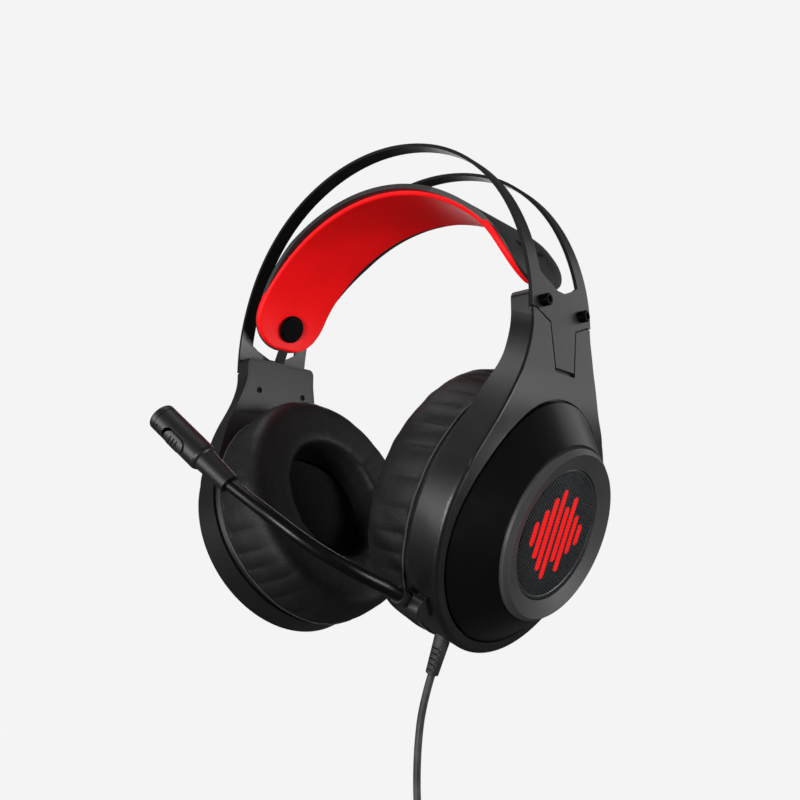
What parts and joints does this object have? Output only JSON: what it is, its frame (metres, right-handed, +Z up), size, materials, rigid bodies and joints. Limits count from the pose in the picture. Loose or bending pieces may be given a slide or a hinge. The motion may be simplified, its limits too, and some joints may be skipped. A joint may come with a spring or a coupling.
{
  "type": "gaming headset",
  "caption": "Over-ear headset with a twin-strip sprung headband, floating comfort strap, tilting lit ear cups, swing-down boom microphone and cable.",
  "frame": {"origin": "on the wearer's head: the underside of the comfort strap at the middle of its crown", "axes": "+Z up, the wearer looks along -Y, +X towards the wearer's left ear, the microphone's side"},
  "size_m": [0.1862, 0.1626, 0.3861],
  "materials": {
    "spring_steel": "satin black paint on spring steel",
    "screw_steel": "black oxide",
    "pin_steel": "ground",
    "satin_plastic": "soft satin, fine grain",
    "gloss_plastic": "high gloss black",
    "bezel_plastic": "satin dark grey",
    "grille_metal": "perforated sheet, matte",
    "light_guide": "translucent red",
    "circuit_board": "solder mask",
    "inner_plastic": "fine spark-eroded grain",
    "driver_metal": "plated",
    "pad_leather": "soft synthetic leather, fine grain",
    "pad_cloth": "knitted mesh",
    "strap_plastic": "satin flexible polymer",
    "strap_lining": "red synthetic leather over thin foam",
    "elastic": "woven elastic",
    "boom_sleeve": "smooth satin sleeve over a bending core",
    "mic_plastic": "satin",
    "cable_rubber": "satin jacket",
    "tie_strap": "matte",
    "plug_metal": "gold plated",
    "plug_insulator": "black ring"
  },
  "bodies": {
    "strap": {"strap_shell": "strap_plastic", "strap_pad": "strap_lining", "strap_rivet_left": "inner_plastic", "strap_rivet_right": "inner_plastic", "strap_hook_left": "strap_plastic", "strap_hook_right": "strap_plastic"},
    "frame": {"spring_bow": "spring_steel", "bow_screws": "screw_steel", "yoke_left": "satin_plastic", "yoke_right": "satin_plastic", "cover_screws": "screw_steel", "mic_bracket": "satin_plastic", "mic_hinge_pin": "pin_steel", "strain_relief": "cable_rubber", "cable": "cable_rubber", "cable_hank": "cable_rubber", "cable_tie": "tie_strap", "plug_shell": "cable_rubber", "plug_jack": "plug_metal", "plug_bands": "plug_insulator", "yoke_cover_left": "satin_plastic", "yoke_cover_right": "satin_plastic", "cone_cover_left": "gloss_plastic", "cone_cover_right": "gloss_plastic", "bezel_left": "bezel_plastic", "bezel_right": "bezel_plastic", "grille_left": "grille_metal", "grille_right": "grille_metal", "light_guide_left": "light_guide", "light_guide_right": "light_guide", "light_board_left": "circuit_board", "light_board_right": "circuit_board", "elastic_band_left": "elastic", "elastic_band_right": "elastic"},
    "cup_left": {"ear_housing_left": "inner_plastic", "baffle_left": "inner_plastic", "baffle_screws_left": "screw_steel", "tilt_pins_left": "pin_steel", "driver_left": "driver_metal", "pad_ring_left": "inner_plastic", "ear_pad_left": "pad_leather", "ear_cloth_left": "pad_cloth"},
    "cup_right": {"ear_housing_right": "inner_plastic", "baffle_right": "inner_plastic", "baffle_screws_right": "screw_steel", "tilt_pins_right": "pin_steel", "driver_right": "driver_metal", "pad_ring_right": "inner_plastic", "ear_pad_right": "pad_leather", "ear_cloth_right": "pad_cloth"},
    "boom": {"mic_hub": "inner_plastic", "mic_boom": "boom_sleeve", "mic_body": "mic_plastic", "mic_cap": "mic_plastic", "mic_element": "driver_metal", "mute_switch": "circuit_board"},
    "mute": {"mute_slider": "mic_plastic"}
  },
  "joints": [
    {"name": "strap_float", "type": "slide", "parent": "strap", "child": "frame", "axis": [0, 0, -1], "range_m": [0, 0.012], "stiffness_N_per_m": 150, "springref_m": -0.03, "deforming": ["elastic_band_left", "elastic_band_right"]},
    {"name": "cup_tilt_left", "type": "hinge", "parent": "frame", "child": "cup_left", "pos_m": [0.05869, 0, -0.13636], "axis": [0, 1, 0], "range_deg": [-2.5, 2.5], "stiffness_Nm_per_rad": 0.08},
    {"name": "cup_tilt_right", "type": "hinge", "parent": "frame", "child": "cup_right", "pos_m": [-0.05869, 0, -0.13636], "axis": [0, 1, 0], "range_deg": [-2.5, 2.5], "stiffness_Nm_per_rad": 0.08},
    {"name": "boom_swing", "type": "hinge", "parent": "frame", "child": "boom", "pos_m": [0.0451, -0.04249, -0.16542], "axis": [0.9304, 0, -0.3665], "range_deg": [-25, 90]},
    {"name": "mute_slide", "type": "slide", "parent": "boom", "child": "mute", "axis": [-0.6836, -0.3198, 0.656], "range_m": [0, 0.0016]}
  ]
}
